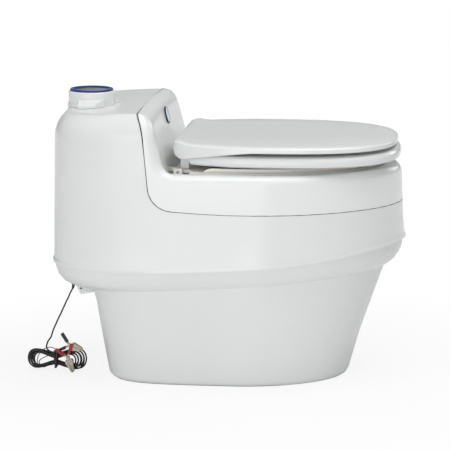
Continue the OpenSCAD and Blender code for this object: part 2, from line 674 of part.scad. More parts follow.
module hinge_posts() {
    color(white) {
        for (s = [-1, 1]) difference() {
            union() {
                translate([-hinge_back - 8, s * hinge_half - 6, frame_z + frame_t + 0.2])
                    cube([16, 12, hinge_z - frame_z - frame_t - 0.2]);
                translate([-hinge_back, s * hinge_half, hinge_z]) rotate([90, 0, 0])
                    cylinder(h = 12, r = 9, center = true, $fn = 48);
            }
            translate([-hinge_back, s * hinge_half, hinge_z]) rotate([90, 0, 0])
                cylinder(h = 14, r = 4.06, center = true, $fn = 48);
        }
    }
}
module hinge_pins() {
    color(steel) at_hinge(hinge_half) cylinder(h = 38, r = 4, center = true, $fn = 48);
}

// ---- seat and lid -------------------------------------------------------------------
seat_mid = 71;
// Half outline of the seat or lid: nose, side drawn in towards the back, straight rear
function seat_half_ring(back, front, half, n, reach, corner, z) = concat(
    [for (k = [0:15]) let (p = egg(6 * k, back, front, seat_mid, half, 2, n)) [p[0], p[1], z]],
    [for (k = [0:5]) let (x = mix(seat_mid - 14, corner - back, k / 5))
        [x, half * sqrt(1 - pow((seat_mid - x) / reach, 2)), z]],
    let (y = half * sqrt(1 - pow((seat_mid + back - corner) / reach, 2)))
    concat([for (a = [30:30:90]) [corner - back - corner * sin(a), y - 3 - corner * (1 - cos(a)), z]],
        [for (k = [1:4]) [-back, (y - 3 - corner) * (1 - k / 4), z]]));
seat_back = 72;
seat_front = 326;
function seat_line(i, z) = whole(seat_half_ring(seat_back - i, seat_front - i, seat_half_w - i,
                                                2.7, 232, 12, z));
function hole_line(i, z) = [for (p = whole([for (k = [0:28])
    egg(180 * k / 28, -4 - i, 262 + i, 122, 106 + i, 2.3, 2)])) [p[0], p[1], z]];
module seat_ring() {
    t = seat_z + seat_t;
    color(white) moulding() difference() {
        skin([seat_line(6, seat_z), seat_line(1.5, seat_z + 3), seat_line(0, seat_z + 9),
              seat_line(2, t - 6), seat_line(7, t - 1.5), seat_line(16, t)]);
        skin([hole_line(2, seat_z - 1), hole_line(0, seat_z + 2), hole_line(0, t - 8),
              hole_line(5, t - 3), hole_line(16, t), hole_line(16.2, t + 3)]);
        for (s = [-1, 1]) translate([-70, s * 140 - 5.3, seat_z + 3.2]) cube([30, 10.6, 12.6]);
        for (s = [-1, 1]) translate([-80, s * 134 - 24, seat_z - 1]) cube([18, 48, 40]);
    }
}
module seat_lugs() {
    color(white) for (s = [-1, 1]) translate([-hinge_back, s * 140, 0]) difference() {
        union() {
            translate([7, -5, seat_z + 3.5]) cube([26.7, 10, 12]);
            translate([0, 0, hinge_z]) rotate([90, 0, 0])
                cylinder(h = 10, r = 8, center = true, $fn = 48);
            translate([-6, -5, seat_z + 10]) cube([14, 10, 10]);
        }
        translate([0, 0, hinge_z]) rotate([90, 0, 0])
            cylinder(h = 12, r = 4.06, center = true, $fn = 48);
    }
}
module seat_bumpers() {
    low = frame_z + frame_t + 0.3;
    h = seat_z - 0.3 - low;
    color(grey) for (s = [-1, 1]) {
        translate([40, s * 146, low]) cylinder(h = h, r = 9, $fn = 32);
        translate([259, s * 34 - 8, low]) cube([26, 16, h]);
    }
}
lid_z = 454.5;       // lower edge of the lid at its sides
lid_back = 96;
lid_front = 320;
function ease(t) = t * t * (3 - 2 * t);
// How far the lid's rear end stands up as a ridge over its hinges
function ridge(x) = 5 * ease(clamp((-62 - x) / 18));
function lid_line(i, z) = whole(seat_half_ring(lid_back - i, lid_front - i, 194 - i, 2.7,
                                               259, 26, z));
function lid_edge(i, z) = [for (p = lid_line(i, z)) [p[0], p[1], p[2] + ridge(p[0])]];
// Lower edge of the skirt: it dips towards the back and turns up round the rear corners
function lid_low(i, up = 0) = [for (p = lid_line(i, lid_z + up))
    [p[0], p[1], p[2] - 18 * pow(clamp((60 - p[0]) / 136), 1.3)
        + 18 * (1 - sqrt(1 - pow(clamp((-76 - p[0]) / 20), 2)))]];
// Upper side of the lid, as inset and height over the lower edge
lid_crown = [[0, 4.5], [1.2, 7], [4, 9.5], [8, 11], [14, 12.2], [22, 13.2], [45, 14.4], [90, 15.6]];
lid_under = [[90, 11.5], [45, 10.3], [22, 9], [11, 7], [5.5, 4.5]];
module seat_lid() {
    color(white) moulding() difference() {
        skin(concat(
            [for (s = lid_under) lid_edge(s[0], lid_z + s[1])], [lid_low(3.7, 0.5), lid_low(1)],
            [for (s = lid_crown) s[0] == 0 ? lid_low(0, 2) : lid_edge(s[0], lid_z + s[1])]));
        // the hinge posts stand in these notches when the lid is up
        for (s = [-1, 1]) translate([-100, s * hinge_half - 6.8, 420]) cube([32, 13.6, 39.5]);
    }
}
module lid_lugs() {
    color(white) for (s = [-1, 1]) translate([-hinge_back, s * 116, 0]) difference() {
        union() {
            translate([0, 0, hinge_z]) rotate([90, 0, 0])
                cylinder(h = 10, r = 8, center = true, $fn = 48);
            translate([-5, -5, hinge_z]) cube([10, 10, lid_z + 12 - hinge_z]);
        }
        translate([0, 0, hinge_z]) rotate([90, 0, 0])
            cylinder(h = 12, r = 4.06, center = true, $fn = 48);
    }
}
module lid_bumpers() {
    z0 = seat_z + seat_t + 0.3;
    color(grey) for (p = [[5, 165], [232, 134]], s = [-1, 1]) translate([p[0], s * p[1], 0])
        translate([0, 0, z0]) cylinder(h = lid_z + 8 - z0, r = 5, $fn = 32);
}

// ---- badge ------------------------------------------------------------------------
module at_face(z, out) {
    translate([face_x(z), 0, z]) rotate([0, 90 - atan(face_lean), 0]) translate([0, 0, out])
        children();
}
badge_r = 16.5;
module badge_rim() {
    color(blue) at_face(face_z0, 0.3) difference() {
        cylinder(h = 2.8, r = badge_r, $fn = 96);
        translate([0, 0, 1.6]) cylinder(h = 4, r = badge_r - 1.8, $fn = 96);
    }
}
module badge_disc() {
    color(white) at_face(face_z0, 1.9) cylinder(h = 0.9, r = badge_r - 2, $fn = 96);
}

// ---- battery lead -------------------------------------------------------------------
module tube(p, r, n, up) {
    skin([for (k = [0:len(p) - 1]) tube_ring(p, k, r, n, up)]);
}
gland_at = [-299, -70];
module cord_gland() {
    color(dark) translate([gland_at[0], gland_at[1], 176]) difference() {
        union() {
            cylinder(h = 3, r1 = 4, r2 = 6, $fn = 48);
            translate([0, 0, 3]) cylinder(h = 24, r = 4.2, $fn = 48);
        }
        translate([0, 0, -1]) cylinder(h = 40, r = cord_d / 2, $fn = 48);
    }
}
// Free stretch of the lead, from the gland down to the hank
lead_route = [[-299, -70, 196], [-299, -70, 190], [-299, -70, 184], [-299, -70, 175],
              [-299.6, -69.8, 170], [-301.6, -69.3, 165], [-305, -68, 159], [-309, -67, 150],
              [-313.5, -65.5, 141], [-318, -64, 131.5], [-322.5, -62.5, 122],
              [-327, -61, 112.5], [-331.5, -59, 103.5], [-335.5, -57, 95], [-339.5, -55, 86.5],
              [-343, -53, 78.5], [-345.5, -51, 71], [-347.5, -49.5, 64], [-349.5, -48, 57.5],
              [-351.5, -46.5, 51.5], [-353, -45.3, 46], [-353, -44.6, 41.5]];
module cord_lead() {
    p = concat(lead_route, [hank_pt(0) - cord_d * unit(hank_pt(0.02) - hank_pt(0)),
                            hank_pt(0)]);
    color(dark) tube(p, cord_d / 2, 8, [0, 1, 0]);
}

// The hank stands on edge behind the tub: runs along X, layers along Y
hank_at = [-338, -50, 21.5];
hank_layers = 4;
hank_turns = hank_loops - 0.433;
run_half = 50;       // half length of the innermost run
end_step = 4;        // what each loop adds at the ends
waist_half = 2.2;    // half height of the innermost loop under the tie
waist_step = 3.8;
fan_half = 29;
fan_step = 4.5;
layer_step = 3.9;
climb = 0.15;        // share of a turn in which the cord passes to the next layer
per_layer = hank_loops / hank_layers;
// Point after t turns; within a layer the loops spiral in, in the next one out again
function hank_pt(t) =
    let (k = abs(per_layer - (t % (2 * per_layer))), a = 102 - 360 * t,
         layer = floor(t / per_layer) - 1
             + (t < per_layer ? 1 : clamp((t % per_layer) / climb)),
         spread = pow(abs(cos(a)), 1.2),
         v = sin(a) * mix(waist_half + waist_step * k, fan_half + fan_step * k, spread))
    hank_at + [(run_half + end_step * k) * cos(a),
               layer_step * ((hank_layers - 1) / 2 - layer), v];
hank_n = 24;
hank_path = let (n = round(hank_turns * hank_n))
    concat([hank_pt(0), hank_pt(0) + cord_d * unit(hank_pt(0.02) - hank_pt(0))],
           [for (k = [1:n - 1]) hank_pt(hank_turns * k / n)],
           [hank_pt(hank_turns)]);
module cord_hank() {
    color(dark) tube(hank_path, cord_d / 2, 6, [0, 1, 0]);
}
// Least distance between stretches of the hank over six rings apart
hank_gap = min([for (i = [0:len(hank_path) - 8], j = [i + 7:len(hank_path) - 1])
    norm(hank_path[i] - hank_path[j])]) - cord_d;
echo(hank_gap = hank_gap);
echo(hank_length = sum_steps(hank_path), lead_length = sum_steps(lead_route));
function sum_steps(p, k = 0) = k >= len(p) - 1 ? 0 : norm(p[k + 1] - p[k]) + sum_steps(p, k + 1);

tie_half = [13.9, 8.4];   // half height and half width inside the tie
module hank_tie() {
    color(dark) translate(hank_at) for (lean = [-7, 7])
        rotate([0, lean, 0]) translate([lean > 0 ? 1.4 : -1.4, 0, 0]) rotate([0, 90, 0])
            linear_extrude(3, center = true) difference() {
                square([2 * tie_half[0] + 4.4, 2 * tie_half[1] + 4.4], center = true);
                square([2 * tie_half[0], 2 * tie_half[1]], center = true);
            }
}

// ---- battery clips --------------------------------------------------------------------
clip_w = 9;
pivot_r = 1.2;
// One half of a clip: reach is its jaw's length, lift the angle of its handle.
// The knuckles of the two halves sit side by side on the pivot.
module clip_half(side, reach, lift) {
    knuckle = clip_w / 2 - 0.4;
    own = side > 0 ? -0.2 - knuckle : 0.2;
    color(steel) scale([1, 1, side]) difference() {
        union() {
            rotate([90, 0, 0]) linear_extrude(clip_w, center = true)
                polygon([[4.4, 0.25], [4.4, 6.4], [8, 8], [reach - 2, 3.2], [reach, 1.6],
                         [reach, 0.25]]);
            translate([0, own, 0]) rotate([-90, 0, 0]) cylinder(h = knuckle, r = 3.4, $fn = 32);
            translate([0, own + 0.1, 0.3]) cube([6, knuckle - 0.2, 3]);
            rotate([0, lift - 180, 0]) {
                translate([1, own + 0.2, -1.2]) cube([6, knuckle - 0.4, 2.4]);
                translate([5, -clip_w / 2, -1.4]) cube([3, clip_w, 2.8]);
                translate([7, -3, -1.2]) cube([19, 6, 2.4]);
            }
        }
        if (side > 0) rotate([90, 0, 0])
            cylinder(h = 2 * clip_w, r = pivot_r + 0.05, center = true, $fn = 24);
    }
    if (side < 0) color(steel) rotate([90, 0, 0])
        cylinder(h = clip_w - 0.2, r = pivot_r, center = true, $fn = 24);
}
// Sleeve pulled over the handle of one half of a clip
module sleeve(side, lift) {
    scale([1, 1, side]) rotate([0, lift - 180, 0]) difference() {
        translate([8.1, -clip_w / 2, -2.6]) cube([20, clip_w, 5.2]);
        translate([8, -3.1, -1.3]) cube([18.2, 6.2, 2.6]);
    }
}
module at_clip(place, lean) {
    translate(place) rotate([0, lean, 0]) children();
}
black_at = [-309, -63.5, 52];
black_lean = 16;
black_reach = 26;
black_lift = 42;
red_at = [-311, -74.5, 30.5];
red_lean = 70;
red_reach = 30;
red_lift = 36;
module black_clip() {
    at_clip(black_at, black_lean) clip_half(-1, black_reach, black_lift);
}
module black_jaw() {
    at_clip(black_at, black_lean) clip_half(1, black_reach, black_lift);
}
module black_clip_sleeve() {
    color(dark) at_clip(black_at, black_lean) sleeve(-1, black_lift);
}
module black_jaw_sleeve() {
    color(dark) at_clip(black_at, black_lean) sleeve(1, black_lift);
}
module red_clip() {
    at_clip(red_at, red_lean) clip_half(-1, red_reach, red_lift);
}
module red_jaw() {
    at_clip(red_at, red_lean) clip_half(1, red_reach, red_lift);
}
module red_clip_sleeve() {
    color(red) at_clip(red_at, red_lean) sleeve(-1, red_lift);
}
module red_jaw_sleeve() {
    color(red) at_clip(red_at, red_lean) sleeve(1, red_lift);
}
// The two cores part where the sheath ends and run into the clips' lower sleeves
core_r = 0.8;
core_end = hank_pt(hank_turns) + 0.1 * unit(hank_pt(hank_turns) - hank_pt(hank_turns - 0.02));
black_tail = [[-360, -57.5, 6], [-365, -60, 9], [-368, -62, 15], [-367, -63.5, 21.5],
              [-361, -64, 27], [-353, -64, 30.5], [-345, -63.8, 33.5]];
red_tail = [[-358.5, -60, 4.5], [-363, -64, 8], [-366, -68, 14], [-366, -71, 21],
            [-362, -73, 28], [-355, -74, 34], [-347, -74.4, 39], [-340, -74.5, 43]];
function sleeve_end(place, lean, lift, d) = place
    + d * [cos(180 + lift - lean), 0, sin(180 + lift - lean)];
module cord_tails() {
    out = unit(hank_pt(hank_turns) - hank_pt(hank_turns - 0.02));
    black_end = sleeve_end(black_at, black_lean, black_lift, 28.1);
    red_end = sleeve_end(red_at, red_lean, red_lift, 28.1);
    black_in = unit(black_at - black_end);
    red_in = unit(red_at - red_end);
    side = [0, 0.85, 0];
    color(dark) tube(concat([core_end + side, core_end + side + 3 * out], black_tail,
                            [black_end - 4 * black_in, black_end]), core_r, 6, [0.1, 1, 0.1]);
    color(red) tube(concat([core_end - side, core_end - side + 3 * out], red_tail,
                           [red_end - 4 * red_in, red_end]), core_r, 6, [0.1, 1, 0.1]);
}

lower_tub();
upper_case();
top_section();
rear_duct();
vent_base();
vent_socket();
vent_seal();
fan_shelf();
fan_frame();
fan_impeller();
fan_screws();
turntable_axle();
turntable();
container();
container_handle();
pawl_post();
pawl_arm();
press_rod();
bowl_liner();
urine_funnel();
drain_hose();
drain_spigot();
view_guard();
guard_tie_rod();
guard_rails();
press_frame();
frame_pins();
pivot_brackets();
press_springs();
hinge_posts();
hinge_pins();
seat_lugs();
lid_lugs();
seat_ring();
seat_bumpers();
seat_lid();
lid_bumpers();
badge_disc();
badge_rim();
cord_gland();
cord_lead();
cord_hank();
hank_tie();
cord_tails();
black_clip();
black_jaw();
black_clip_sleeve();
black_jaw_sleeve();
red_clip();
red_jaw();
red_clip_sleeve();
red_jaw_sleeve();
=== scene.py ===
import json
import math

import bmesh
import bpy
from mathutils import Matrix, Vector


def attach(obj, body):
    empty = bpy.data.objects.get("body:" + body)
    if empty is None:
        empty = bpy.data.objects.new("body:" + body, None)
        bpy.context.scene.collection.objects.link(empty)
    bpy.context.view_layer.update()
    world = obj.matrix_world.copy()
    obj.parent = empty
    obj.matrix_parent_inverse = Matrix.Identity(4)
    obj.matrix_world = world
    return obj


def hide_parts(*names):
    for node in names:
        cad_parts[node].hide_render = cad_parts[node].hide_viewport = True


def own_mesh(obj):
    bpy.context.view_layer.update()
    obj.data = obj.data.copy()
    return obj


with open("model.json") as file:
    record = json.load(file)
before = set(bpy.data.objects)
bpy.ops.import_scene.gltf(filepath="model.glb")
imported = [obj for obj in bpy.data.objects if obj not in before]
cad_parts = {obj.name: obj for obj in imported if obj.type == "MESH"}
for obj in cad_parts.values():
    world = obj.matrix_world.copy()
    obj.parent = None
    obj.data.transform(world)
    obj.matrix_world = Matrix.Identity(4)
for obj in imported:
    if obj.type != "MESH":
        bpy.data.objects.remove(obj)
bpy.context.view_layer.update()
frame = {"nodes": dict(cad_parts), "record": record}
nodes = frame["nodes"]
scene = bpy.context.scene
print("frame loaded:", len(nodes), "nodes")

mm = 0.001


# camera: a long lens a little above the seat, nearly square on to the side
shot = {"azimuth": 6.2, "elevation": 10.5,  # degrees
        "distance": 5.0,  # m
        "aim": (-12.65, 0, 283.8),  # mm
        "sensor": 36, "focalPixels": 2583, "framePixels": 450, "clip": (0.05, 100)}
azimuth, elevation = math.radians(shot["azimuth"]), math.radians(shot["elevation"])
back = Vector((math.sin(azimuth) * math.cos(elevation),
               -math.cos(azimuth) * math.cos(elevation), math.sin(elevation)))
camera = bpy.data.objects.new("camera", bpy.data.cameras.new("camera"))
scene.collection.objects.link(camera)
camera.data.sensor_width = shot["sensor"]
camera.data.lens = shot["focalPixels"] * shot["sensor"] / shot["framePixels"]
camera.data.clip_start, camera.data.clip_end = shot["clip"]
camera.location = Vector(shot["aim"]) * mm + back * shot["distance"]
camera.rotation_mode = "QUATERNION"
camera.rotation_quaternion = (-back).to_track_quat("-Z", "Y")
scene.camera = camera


def rgb(hexCode):
    # sRGB hex to linear red, green, blue and alpha
    parts = [int(hexCode[i:i + 2], 16) / 255 for i in (0, 2, 4)]
    return [c / 12.92 if c <= 0.04045 else ((c + 0.055) / 1.055) ** 2.4 for c in parts] + [1]


def addNode(tree, kind, inputs=None, **settings):
    node = tree.nodes.new(kind)
    for name, value in settings.items():
        setattr(node, name, value)
    for name, value in (inputs or {}).items():
        if isinstance(value, bpy.types.NodeSocket):
            tree.links.new(value, node.inputs[name])
        else:
            node.inputs[name].default_value = value
    return node


def newObject(name, data):
    item = bpy.data.objects.new(name, data)
    scene.collection.objects.link(item)
    return item


# materials: every pattern size is in mm
noiseSpan = (0.3, 0.7)  # most values of a noise lie between these


def noiseAt(tree, sizeMm, detail=3, stretch=(1, 1, 1)):
    place = addNode(tree, "ShaderNodeTexCoord")
    grid = addNode(tree, "ShaderNodeMapping",
                   {"Vector": place.outputs["Object"],
                    "Scale": [1000 * s / sizeMm for s in stretch]})
    return addNode(tree, "ShaderNodeTexNoise",
                   {"Vector": grid.outputs["Vector"], "Scale": 1, "Detail": detail,
                    "Roughness": 0.5}).outputs["Fac"]


def makeMaterial(look):
    material = bpy.data.materials.new(look["name"])
    material.use_nodes = True
    tree = material.node_tree
    shader = tree.nodes["Principled BSDF"]
    for name, value in look.get("shader", {}).items():
        shader.inputs[name].default_value = value
    # two close tones drift across the surface
    tone = addNode(tree, "ShaderNodeValToRGB", {"Fac": noiseAt(tree, look["toneSize"])})
    stops = zip(tone.color_ramp.elements, noiseSpan, (look["shade"], look["colour"]))
    for stop, place, code in stops:
        stop.position, stop.color = place, rgb(code)
    tree.links.new(tone.outputs["Color"], shader.inputs["Base Color"])
    # handling leaves it a little duller in places
    haze = addNode(tree, "ShaderNodeMapRange",
                   {"Value": noiseAt(tree, look["hazeSize"], 4),
                    "From Min": noiseSpan[0], "From Max": noiseSpan[1],
                    "To Min": look["roughness"][0], "To Max": look["roughness"][1]})
    tree.links.new(haze.outputs["Result"], shader.inputs["Roughness"])
    # grain of the mould, or the lines of drawing and turning
    skin = noiseAt(tree, look["grain"], 2, look.get("stretch", (1, 1, 1)))
    relief = addNode(tree, "ShaderNodeBump",
                     {"Height": skin, "Strength": 1, "Distance": look["depth"] * mm})
    tree.links.new(relief.outputs["Normal"], shader.inputs["Normal"])
    return material


looks = {
    # cool glossy ABS: slight orange peel breaks up the long highlights
    "whiteCase": {"name": "gloss ABS white", "colour": "E9EBEA", "shade": "E7E9E8",
                  "toneSize": 120, "hazeSize": 70, "roughness": (0.2, 0.23),
                  "grain": 9, "depth": 0.008, "shader": {"IOR": 1.5}},
    # the lift-off top is moulded apart; its white is painted a touch lighter than the case's,
    # painted light for the brighter light on its deck
    "whiteTopPaintedLight": {"name": "gloss ABS white painted lighter", "colour": "EFF1F0", "shade": "EDEFEE",
                 "toneSize": 120, "hazeSize": 70, "roughness": (0.18, 0.21),
                 "grain": 9, "depth": 0.008, "shader": {"IOR": 1.5}},
    # the seat and lid are cast thicker and shine a little more than the body
    "whiteSeat": {"name": "thermoset seat white", "colour": "E8EAE9", "shade": "E6E8E7",
                  "toneSize": 110, "hazeSize": 60, "roughness": (0.15, 0.18),
                  "grain": 11, "depth": 0.006, "shader": {"IOR": 1.52}},
    # polypropylene of the bucket, guard and bowl: satin, faintly milky
    "whiteInner": {"name": "satin polypropylene", "colour": "E6E8E6", "shade": "DFE2E0",
                   "toneSize": 40, "hazeSize": 12, "roughness": (0.34, 0.46),
                   "grain": 1.6, "depth": 0.02, "shader": {"IOR": 1.49}},
    # grey nylon of the frame, rails and brackets, with a fine spark grain
    "greyNylon": {"name": "grey nylon", "colour": "A9ACA9", "shade": "9C9F9D",
                  "toneSize": 18, "hazeSize": 7, "roughness": (0.42, 0.55),
                  "grain": 0.6, "depth": 0.03, "shader": {"IOR": 1.53}},
    # moulded frame under the seat: the same white with a warm cast
    "whiteFrame": {"name": "warm white nylon", "colour": "EDEAE3", "shade": "E8E4DC",
                   "toneSize": 60, "hazeSize": 14, "roughness": (0.34, 0.44),
                   "grain": 2, "depth": 0.015, "shader": {"IOR": 1.5}},
    # thermoplastic bumpers: soft, dull, a little yellowed
    "bumper": {"name": "soft bumper rubber", "colour": "C6C5BC", "shade": "B4B3AA",
               "toneSize": 6, "hazeSize": 3, "roughness": (0.5, 0.65),
               "grain": 0.5, "depth": 0.02, "shader": {"IOR": 1.5}},
    # fan and gland: black glass-filled plastic
    "blackPlastic": {"name": "black glass-filled nylon", "colour": "1C1D1F",
                     "shade": "141516", "toneSize": 14, "hazeSize": 5,
                     "roughness": (0.38, 0.5), "grain": 0.5, "depth": 0.03,
                     "shader": {"IOR": 1.55}},
    # blue seal: moulded rubber with a waxy sheen on its lips
    "blueSeal": {"name": "blue EPDM rubber", "colour": "00408A", "shade": "003472",
                 "toneSize": 9, "hazeSize": 4, "roughness": (0.22, 0.34),
                 "grain": 0.7, "depth": 0.02, "shader": {"IOR": 1.46}},
    # dark strip in the joint of case and top: painted shadow of the gap, brown-black and matt
    "seamShadow": {"name": "painted seam shadow", "colour": "5A5249", "shade": "463F37",
                 "toneSize": 8, "hazeSize": 3, "roughness": (0.6, 0.75),
                 "grain": 0.5, "depth": 0.03, "shader": {"IOR": 1.5}},
    # badge rim: dark navy lacquered plastic
    "navyTrim": {"name": "navy lacquer", "colour": "1A2552", "shade": "131B40",
                 "toneSize": 5, "hazeSize": 3, "roughness": (0.16, 0.24),
                 "grain": 1.2, "depth": 0.006, "shader": {"IOR": 1.5}},
    # badge face: pale blue enamel
    "paleEnamel": {"name": "pale enamel", "colour": "DCE6F2", "shade": "D0DDEC",
                   "toneSize": 8, "hazeSize": 4, "roughness": (0.12, 0.2),
                   "grain": 2.0, "depth": 0.006, "shader": {"IOR": 1.5}},
    # turned and drawn steel: fine lines round or along the piece
    "steel": {"name": "zinc-plated steel", "colour": "C3C6C9", "shade": "A8ABAE",
              "toneSize": 8, "hazeSize": 2.5, "roughness": (0.28, 0.42),
              "grain": 0.4, "depth": 0.01, "stretch": (1, 1, 7),
              "shader": {"Metallic": 1}},
    # nickel of the clips, a bit yellow, with dull patches where it has been handled
    "nickel": {"name": "nickel-plated steel", "colour": "D8D0C4", "shade": "A99C8B",
               "toneSize": 3, "hazeSize": 1.5, "roughness": (0.18, 0.36),
               "grain": 0.5, "depth": 0.01, "shader": {"Metallic": 1}},
    # dipped vinyl grips of the clips
    "redVinyl": {"name": "red dipped vinyl", "colour": "C0161C", "shade": "9C0E14",
                 "toneSize": 4, "hazeSize": 2, "roughness": (0.28, 0.4),
                 "grain": 0.9, "depth": 0.03, "shader": {"IOR": 1.53}},
    "blackVinyl": {"name": "black vinyl", "colour": "232325", "shade": "161617",
                   "toneSize": 5, "hazeSize": 2, "roughness": (0.34, 0.46),
                   "grain": 0.9, "depth": 0.03, "shader": {"IOR": 1.53}},
    # floor: a plain pale seamless sheet
    "paleFloor": {"name": "matt backdrop vinyl", "colour": "F2F2F2", "shade": "EEEEEE",
                  "toneSize": 300, "hazeSize": 60, "roughness": (0.8, 0.9),
                  "grain": 3, "depth": 0.01, "shader": {"Specular IOR Level": 0.1}},
}
materials = {key: makeMaterial(look) for key, look in looks.items()}
print("materials made:", len(materials))


# cords: lead, hank and the two cores that end in the clips, in mm
cordWide = {"lead": 3, "core": 1.6}
hank = {"at": (-338, -50, 21.5), "startAngle": 102, "turnSteps": 48,
        "layers": 4, "loops": 8, "turns": 8 - 0.433,  # the last turn stops short
        "runHalf": 50, "endStep": 5, "waistHalf": 2.2, "waistStep": 3.8,
        "fanHalf": 29, "fanStep": 6.2, "fanPower": 1.4,
        "layerStep": 3.9, "climb": 0.15,  # share of a layer that the climb takes
        "slackFan": (0, -6, -2, -6.5), "slackEnd": (0, -8, -3, -12)}


def clamp(t):
    return max(0.0, min(1.0, t))


def eased(values, t):
    # value of the layer at turn t, blended while the cord climbs into it
    n, part = divmod(t, hank["loops"] / hank["layers"])
    n = min(int(n), len(values) - 1)
    f = clamp(part / hank["climb"])
    return values[max(0, n - 1)] + (values[n] - values[max(0, n - 1)]) * f * f * (3 - 2 * f)


def hankPoint(t):
    # loops spiral in within a layer and out again in the next one
    perLayer = hank["loops"] / hank["layers"]
    k = abs(perLayer - (t % (2 * perLayer)))
    a = math.radians(hank["startAngle"] - 360 * t)
    layer = eased(range(hank["layers"]), t)
    share = abs(math.cos(a)) ** hank["fanPower"]
    tight = hank["waistHalf"] + hank["waistStep"] * k
    wide = hank["fanHalf"] + hank["fanStep"] * k + eased(hank["slackFan"], t)
    reach = hank["runHalf"] + hank["endStep"] * k + eased(hank["slackEnd"], t)
    return Vector(hank["at"]) + Vector((
        reach * math.cos(a), hank["layerStep"] * ((hank["layers"] - 1) / 2 - layer),
        math.sin(a) * (tight + (wide - tight) * share)))


def smoothRoute(points, parts):
    # Catmull-Rom through the points
    pts = [Vector(p) for p in points]
    pts = [2 * pts[0] - pts[1]] + pts + [2 * pts[-1] - pts[-2]]
    route = []
    for i in range(1, len(pts) - 2):
        a, b, c, d = pts[i - 1:i + 3]
        for k in range(parts):
            t = k / parts
            route.append(0.5 * (2 * b + (c - a) * t + (2 * a - 5 * b + 4 * c - d) * t * t
                                + (3 * b - a - 3 * c + d) * t ** 3))
    return route + [pts[-2]]


def cordPiece(name, points, diameter, material, ring=5):
    # one open spline with a round section; points come in mm
    curve = bpy.data.curves.new(name, "CURVE")
    curve.dimensions = "3D"
    spline = curve.splines.new("POLY")
    spline.points.add(len(points) - 1)
    for point, place in zip(spline.points, points):
        point.co = (*(place * mm), 1)
    curve.bevel_depth = diameter / 2 * mm
    curve.bevel_resolution = ring
    curve.use_fill_caps = True
    curve.materials.append(material)
    return newObject(name, curve)


# the free stretch hangs from the gland and curves into the hank's first turn
leadRoute = [(-299, -70, 196), (-299, -70, 190), (-299, -70, 184), (-299, -70, 175),
             (-299.6, -69.8, 170), (-301.6, -69.3, 165), (-305, -68, 159), (-309, -67, 150),
             (-313.5, -65.5, 141), (-318, -64, 131.5), (-322.5, -62.5, 122),
             (-327, -61, 112.5), (-331.5, -59, 103.5), (-335.5, -57, 95),
             (-339.5, -55, 86.5), (-343, -53, 78.5), (-345.7, -51, 71), (-348.2, -49.5, 64),
             (-353.8, -47.3, 56.5), (-356.8, -45.6, 49), (-357.8, -45.1, 44.6),
             (-356.9, -44.6, 40.3), (-354.3, -44.3, 36.7)]
steps = round(hank["turns"] * hank["turnSteps"])
hankRoute = [hankPoint(hank["turns"] * k / steps) for k in range(steps + 1)]
# the point past the hank's start only lends its direction, so its stretch is cut off
routeParts = 4
freeRoute = smoothRoute(leadRoute + [hankPoint(0), hankPoint(0.01)], routeParts)
fullRoute = freeRoute[:-routeParts - 1] + hankRoute
lead = cordPiece("lead_cord", fullRoute, cordWide["lead"], materials["blackVinyl"])
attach(lead, "base")
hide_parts("cord_lead", "cord_hank")

# tapered strain relief under the gland, ribbed so that it bends with the lead
relief = {"start": 12, "end": 19,  # points of the route
          "wide": 3.1, "slim": 1.9, "rib": 0.25}
sleeveRoute = fullRoute[relief["start"]:relief["end"] + 1]
sleeve = cordPiece("lead_relief", sleeveRoute, 2, materials["blackPlastic"])
for k, point in enumerate(sleeve.data.splines[0].points):
    part = k / (len(sleeveRoute) - 1)
    point.radius = relief["wide"] + (relief["slim"] - relief["wide"]) * part
    point.radius += relief["rib"] * (k % 2)
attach(sleeve, "base")

# where the sheath ends the two cores part and run into the clips' lower grips
outWay = (hankPoint(hank["turns"]) - hankPoint(hank["turns"] - 0.02)).normalized()
coreStart = hankPoint(hank["turns"]) + 0.1 * outWay
coreRun = {"straight": 6, "inGrip": 4, "parts": 5}  # straight out of the sheath, into the grip
gripReach = 28.1  # from a clip's pivot to the end of its lower grip
clips = {
    "black": {"at": (-309, -63.5, 52), "lean": 16, "lift": 42, "side": 0.85,
              "tail": [(-360.5, -56.2, 7.6), (-366, -58, 9.6), (-369.5, -60.5, 14.5),
                       (-368.5, -62.6, 20.5), (-362.5, -63.6, 25.6), (-354, -63.8, 29.6),
                       (-345.5, -63.6, 33.8)]},
    "red": {"at": (-311, -74.5, 30.5), "lean": 70, "lift": 36, "side": -0.85,
            "tail": [(-360, -58.6, 6.8), (-366, -61.4, 8), (-370.5, -65, 13), (-372, -69, 21),
                     (-370, -72, 30), (-365, -73.8, 39), (-357.5, -74.5, 46.2),
                     (-347.5, -74.5, 50)]},
}
for name, clip in clips.items():
    a = math.radians(180 + clip["lift"] - clip["lean"])
    tip = Vector(clip["at"]) + gripReach * Vector((math.cos(a), 0, math.sin(a)))
    into = (Vector(clip["at"]) - tip).normalized()
    first = coreStart + Vector((0, clip["side"], 0))
    points = [first, first + coreRun["straight"] * outWay] + clip["tail"]
    route = smoothRoute(points + [tip - coreRun["inGrip"] * into, tip], coreRun["parts"])
    core = cordPiece(name + "_core", route, cordWide["core"], materials["blackVinyl"], 3)
    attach(core, "base")
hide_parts("cord_tails")


# pieces that take over a CAD shape with smooth faces and softened edges
smoothing = {"weld": 0.004, "flatAngle": 0.4, "edgeSteps": 2}  # mm, degrees, count


